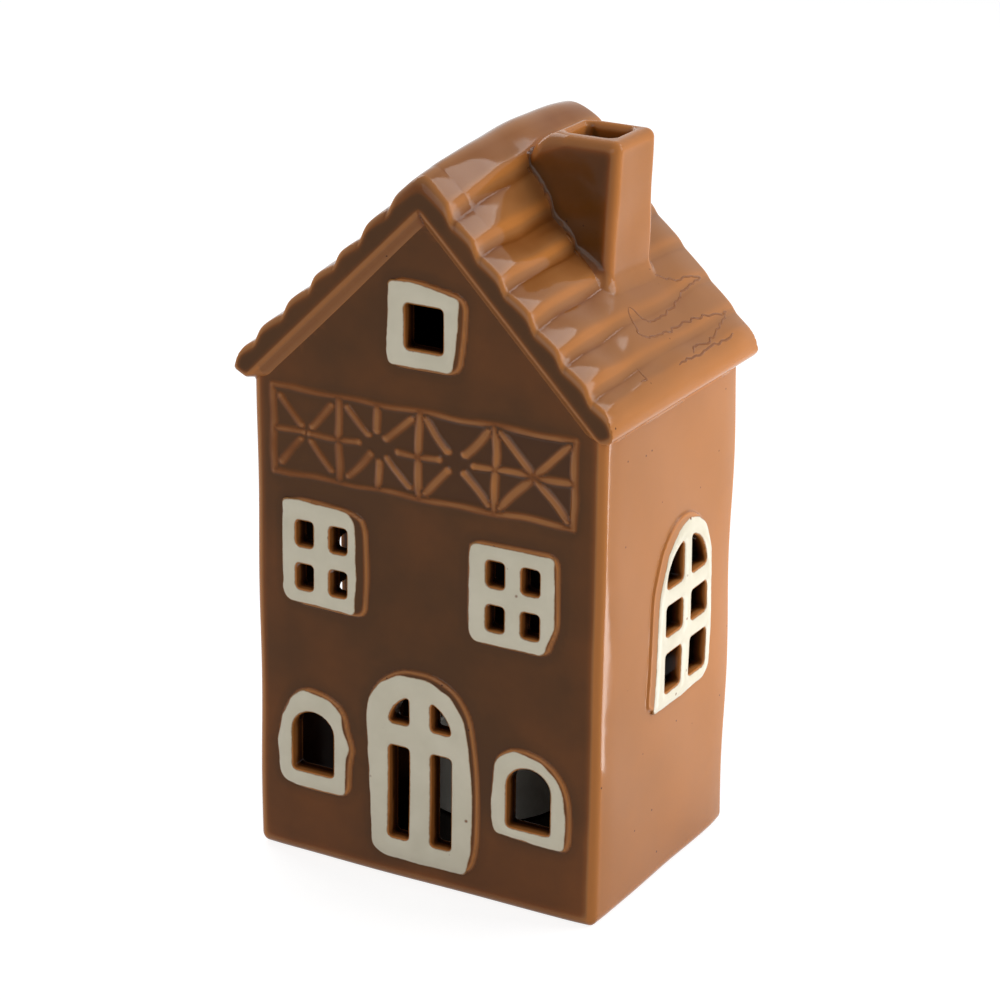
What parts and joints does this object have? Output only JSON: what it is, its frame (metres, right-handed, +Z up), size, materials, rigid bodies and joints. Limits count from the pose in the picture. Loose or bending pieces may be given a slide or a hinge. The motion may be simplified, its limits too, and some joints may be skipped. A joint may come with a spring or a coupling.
{
  "type": "light-up house ornament",
  "caption": "Glazed ceramic townhouse lantern with pierced windows, tiled roof and open chimney, lit by a battery tea light that slides in through a rear arch.",
  "frame": {"origin": "middle of the house's footprint, on the surface that it stands on", "axes": "+Z up, +X to the right along the front, -Y out of the front door"},
  "size_m": [0.1066, 0.0812, 0.1923],
  "materials": {
    "amber_glaze": "glossy amber-brown glaze that thins on the edges",
    "white_enamel": "glossy hand-painted white enamel",
    "white_plastic": "moulded white ABS",
    "flame_plastic": "frosted translucent",
    "led_resin": "clear epoxy resin",
    "contact_steel": "nickel-plated",
    "black_plastic": "moulded"
  },
  "bodies": {
    "house": {"front_wall": "amber_glaze", "rear_wall": "amber_glaze", "left_wall": "amber_glaze", "right_wall": "amber_glaze", "floor": "amber_glaze", "roof": "amber_glaze", "chimney": "amber_glaze", "attic_window_surround": "white_enamel", "upper_left_window_surround": "white_enamel", "upper_right_window_surround": "white_enamel", "lower_left_window_surround": "white_enamel", "lower_right_window_surround": "white_enamel", "front_door_surround": "white_enamel", "right_window_surround": "white_enamel", "left_window_surround": "white_enamel"},
    "tealight": {"tealight_cup": "white_plastic", "flame_lens": "flame_plastic", "battery_tray": "white_plastic", "base_plate": "white_plastic", "coin_cell": "contact_steel", "led_bulb": "led_resin", "led_anode_lead": "contact_steel", "led_cathode_lead": "contact_steel", "positive_contact": "contact_steel", "negative_contact": "contact_steel", "switch_contact": "contact_steel"},
    "switch": {"switch_slider": "black_plastic"},
    "battery_door": {"battery_cap": "white_plastic"}
  },
  "joints": [
    {"name": "tealight_slide", "type": "slide", "parent": "house", "child": "tealight", "axis": [0, 1, 0], "range_m": [0, 0.06]},
    {"name": "switch_slide", "type": "slide", "parent": "tealight", "child": "switch", "axis": [1, 0, 0], "range_m": [0, 0.003]},
    {"name": "battery_cap_turn", "type": "hinge", "parent": "tealight", "child": "battery_door", "pos_m": [-0.0065, 0.0135, 0.006], "axis": [0, 0, 1], "range_deg": [0, 60]}
  ]
}
